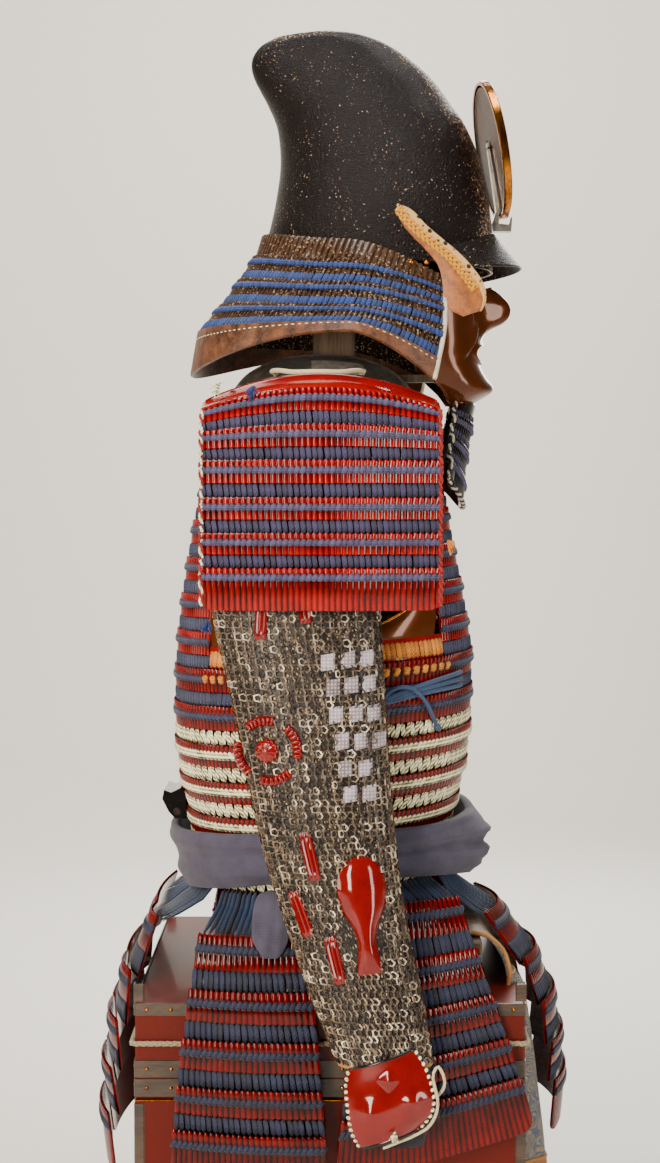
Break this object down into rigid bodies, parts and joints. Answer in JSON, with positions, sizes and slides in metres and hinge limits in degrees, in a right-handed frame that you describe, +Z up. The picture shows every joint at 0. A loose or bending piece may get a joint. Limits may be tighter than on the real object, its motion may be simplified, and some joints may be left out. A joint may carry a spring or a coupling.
{
  "type": "samurai armour on a travelling chest and inner stand",
  "caption": "Laced armour with helmet, crest, face mask, shoulder guards, mail sleeves and skirt, set up over a wooden stand on its lacquered travelling chest.",
  "frame": {"origin": "centre of the travelling chest's underside, on the floor", "axes": "+Z up; the armour faces -Y; its right arm is at -X"},
  "size_m": [0.5928, 0.5203, 1.483],
  "materials": {
    "red_lacquer": "polished red lacquer on iron and leather scales, laced with silk",
    "brown_lacquer": "dark brown lacquer, rough on the bowl",
    "mask_lacquer": "glossy brown lacquer",
    "black_lacquer": "glossy black lacquer",
    "bronze_lacquer": "glossy bronze lacquer",
    "gilt": "polished gilt",
    "bright_iron": "bright iron",
    "flap_leather": "tan leather",
    "strap_leather": "dark grey leather",
    "doeskin": "pale doeskin",
    "mail_on_cloth": "iron mail on cloth",
    "navy_silk": "braided silk cord",
    "mitten_cloth": "dark cotton",
    "brocade": "brocade and leather",
    "sash_cotton": "blue grey cotton",
    "chest_lacquer": "red lacquer on wood",
    "hemp": "hemp rope",
    "stand_wood": "plain wood"
  },
  "bodies": {
    "root": {"cuirass_front": "red_lacquer", "cuirass_back": "red_lacquer", "breast_panel": "red_lacquer", "back_panel": "red_lacquer", "skirt_front": "red_lacquer", "skirt_back_right": "red_lacquer", "skirt_back_left": "red_lacquer", "skirt_hip_rear_right": "red_lacquer", "skirt_hip_rear_left": "red_lacquer", "skirt_hip_front_right": "red_lacquer", "skirt_hip_front_left": "red_lacquer", "shoulder_guard_right": "red_lacquer", "shoulder_guard_left": "red_lacquer", "forearm_plate_right": "red_lacquer", "forearm_plate_left": "red_lacquer", "elbow_boss_right": "red_lacquer", "elbow_boss_left": "red_lacquer", "arm_splint_right": "red_lacquer", "arm_splint_left": "red_lacquer", "hand_guard_right": "red_lacquer", "hand_guard_left": "red_lacquer", "helmet_bowl": "brown_lacquer", "helmet_peak": "brown_lacquer", "neck_guard": "brown_lacquer", "mask": "mask_lacquer", "throat_guard": "black_lacquer", "waist_bracket": "black_lacquer", "armpit_plate_right": "bronze_lacquer", "armpit_plate_left": "bronze_lacquer", "crest_disc": "gilt", "crest_bracket": "bright_iron", "ear_flap_right": "flap_leather", "ear_flap_left": "flap_leather", "shoulder_strap_right": "strap_leather", "shoulder_strap_left": "strap_leather", "guard_cord_right": "doeskin", "guard_cord_left": "doeskin", "hand_cord_right": "doeskin", "hand_cord_left": "doeskin", "sleeve_arm_right": "mail_on_cloth", "sleeve_arm_left": "mail_on_cloth", "sleeve_forearm_right": "mail_on_cloth", "sleeve_forearm_left": "mail_on_cloth", "side_tie": "navy_silk", "mitten_right": "mitten_cloth", "mitten_left": "mitten_cloth", "thigh_guard_right": "brocade", "thigh_guard_left": "brocade", "sash": "sash_cotton", "sash_end": "sash_cotton", "chest_body": "chest_lacquer", "chest_lid": "chest_lacquer", "chest_rope": "hemp", "stand_foot": "stand_wood", "stand_post": "stand_wood", "stand_lower_bar": "stand_wood", "stand_shoulder_bar": "stand_wood", "stand_neck": "stand_wood", "stand_head_rail": "stand_wood", "stand_chin_rest": "stand_wood"}
  },
  "joints": []
}
